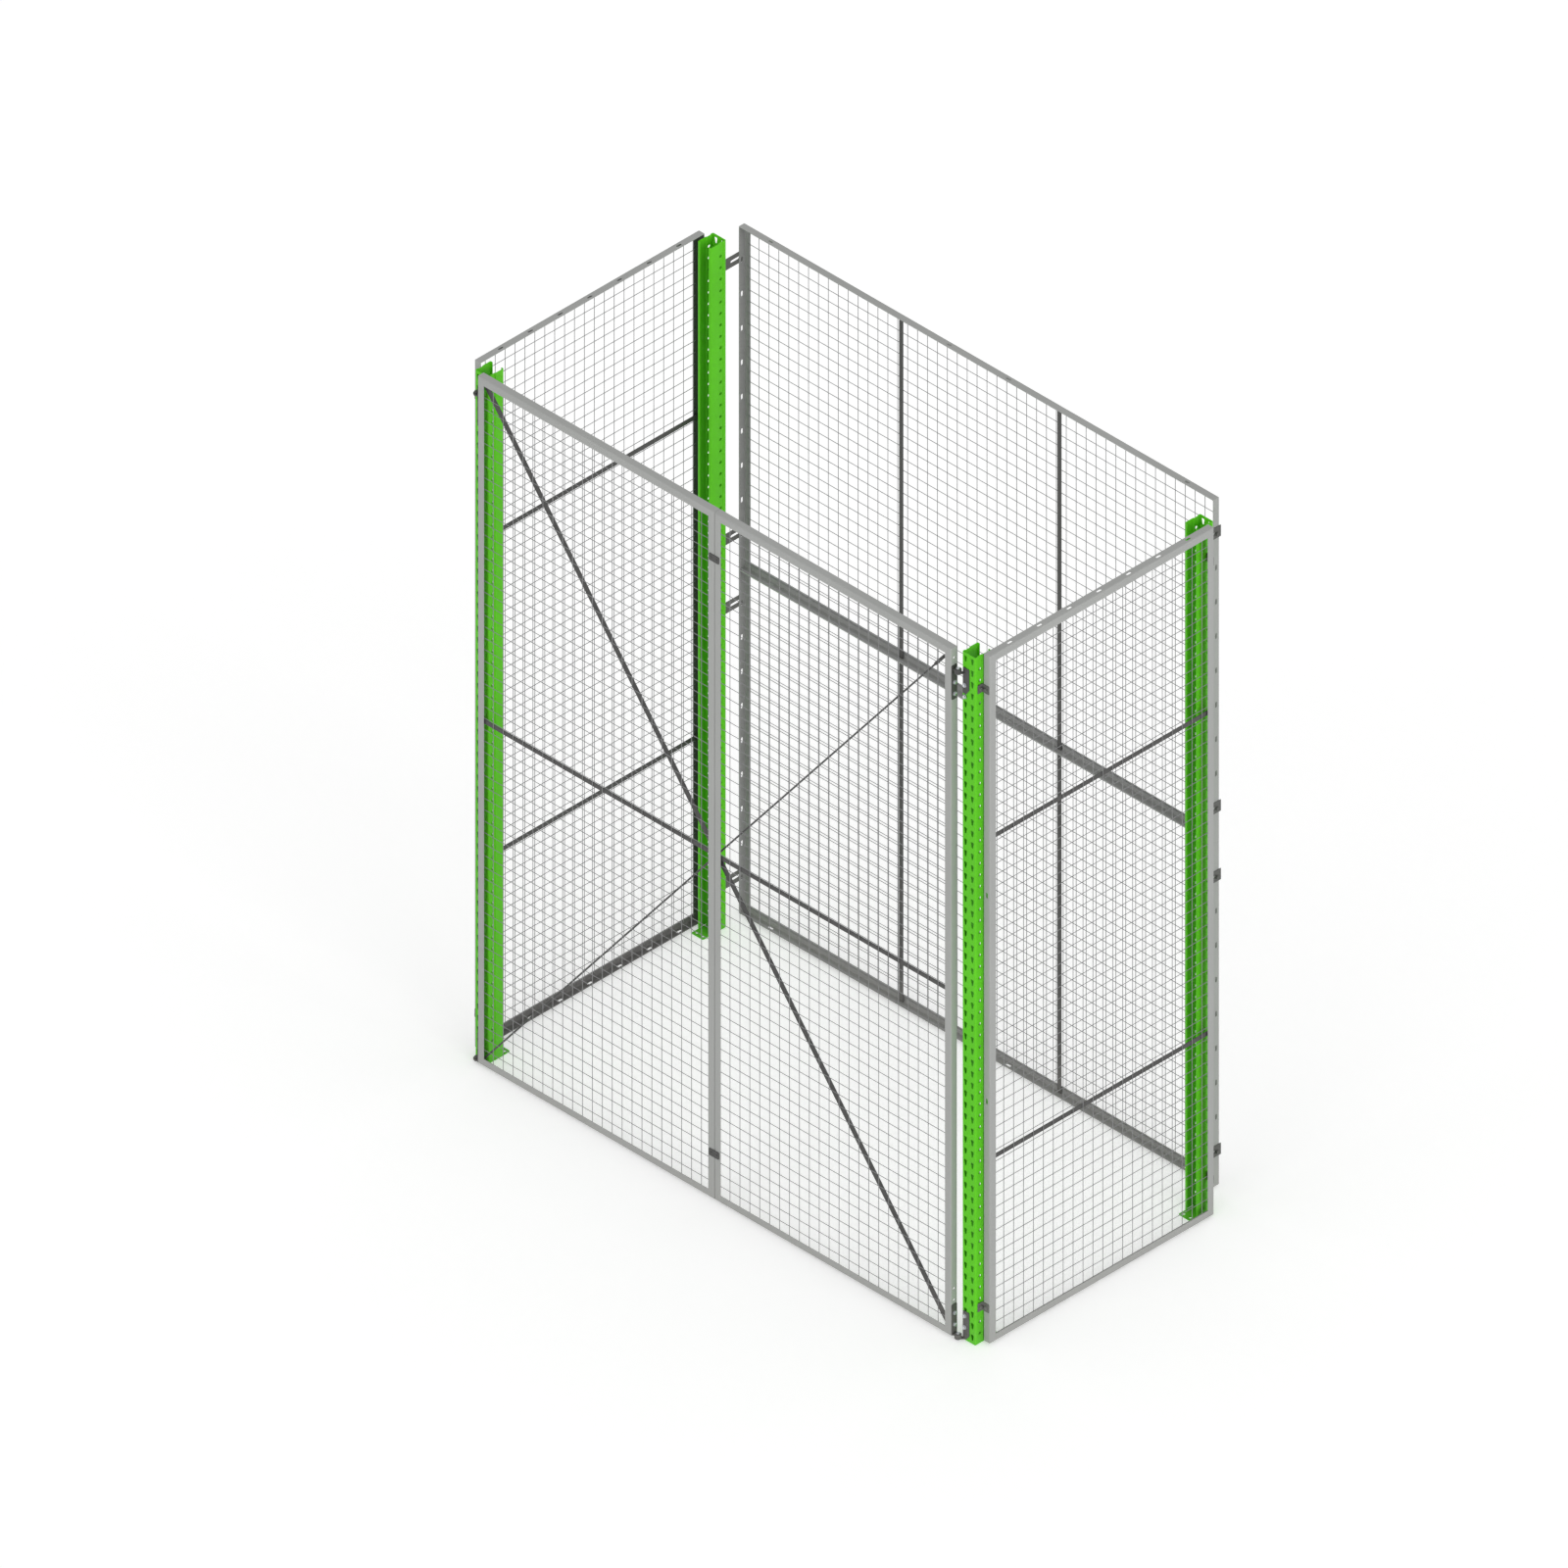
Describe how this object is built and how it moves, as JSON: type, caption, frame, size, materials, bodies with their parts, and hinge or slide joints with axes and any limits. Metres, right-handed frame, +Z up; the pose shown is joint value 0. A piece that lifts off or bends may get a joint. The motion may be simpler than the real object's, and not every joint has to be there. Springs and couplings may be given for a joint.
{
  "type": "rack bay wire mesh cell",
  "caption": "Wire mesh partition for a pallet rack bay: perforated posts, framed mesh sides and back, and a wide braced mesh door on pin hinges with latch tabs.",
  "frame": {"origin": "on the floor, in the middle of the whole cell's outline", "axes": "+Z up, the door faces -Y and hangs on the +X front post, +X to the right seen from the door"},
  "size_m": [2.6, 1.3523, 3.014],
  "materials": {
    "post_paint": "gloss green powder coat",
    "panel_paint": "satin light grey powder coat",
    "mesh_paint": "satin grey coated wire",
    "dark_steel": "satin dark grey coat",
    "zinc": "bright zinc plate"
  },
  "bodies": {
    "cell": {"post_front_left": "post_paint", "post_front_right": "post_paint", "post_rear_left": "post_paint", "post_rear_right": "post_paint", "foot_front_left": "post_paint", "foot_front_right": "post_paint", "foot_rear_left": "post_paint", "foot_rear_right": "post_paint", "left_panel_frame": "panel_paint", "left_panel_mesh": "mesh_paint", "left_panel_bar_lower": "panel_paint", "left_panel_bar_upper": "panel_paint", "right_panel_frame": "panel_paint", "right_panel_mesh": "mesh_paint", "right_panel_bar_lower": "panel_paint", "right_panel_bar_upper": "panel_paint", "back_lower_frame": "panel_paint", "back_lower_mesh": "mesh_paint", "back_lower_bar_left": "panel_paint", "back_lower_bar_right": "panel_paint", "back_upper_frame": "panel_paint", "back_upper_mesh": "mesh_paint", "back_upper_bar_left": "panel_paint", "back_upper_bar_right": "panel_paint", "hinge_post_leaf_lower": "dark_steel", "hinge_post_leaf_upper": "dark_steel", "hinge_pin_lower": "zinc", "hinge_pin_upper": "zinc", "latch_keeper_lower": "dark_steel", "latch_keeper_upper": "dark_steel", "standoff_left_1": "dark_steel", "standoff_left_2": "dark_steel", "standoff_left_3": "dark_steel", "standoff_left_4": "dark_steel", "standoff_right_1": "dark_steel", "standoff_right_2": "dark_steel", "standoff_right_3": "dark_steel", "standoff_right_4": "dark_steel", "side_bracket_front_left_lower": "dark_steel", "side_bracket_front_left_upper": "dark_steel", "side_bracket_front_right_lower": "dark_steel", "side_bracket_front_right_upper": "dark_steel", "side_bracket_rear_left_lower": "dark_steel", "side_bracket_rear_left_upper": "dark_steel", "side_bracket_rear_right_lower": "dark_steel", "side_bracket_rear_right_upper": "dark_steel"},
    "door": {"door_left_frame": "panel_paint", "door_left_mesh": "mesh_paint", "door_left_rail": "panel_paint", "door_right_frame": "panel_paint", "door_right_mesh": "mesh_paint", "door_right_rail": "panel_paint", "door_brace": "dark_steel", "door_tie_rod": "dark_steel", "door_clip_lower": "dark_steel", "door_clip_upper": "dark_steel", "hinge_door_leaf_lower": "dark_steel", "hinge_door_leaf_upper": "dark_steel", "latch_tab_lower": "dark_steel", "latch_tab_upper": "dark_steel"}
  },
  "joints": [
    {"name": "door_swing", "type": "hinge", "parent": "cell", "child": "door", "pos_m": [1.19, -0.657, 0.017], "axis": [0, 0, 1], "range_deg": [0, 120]}
  ]
}
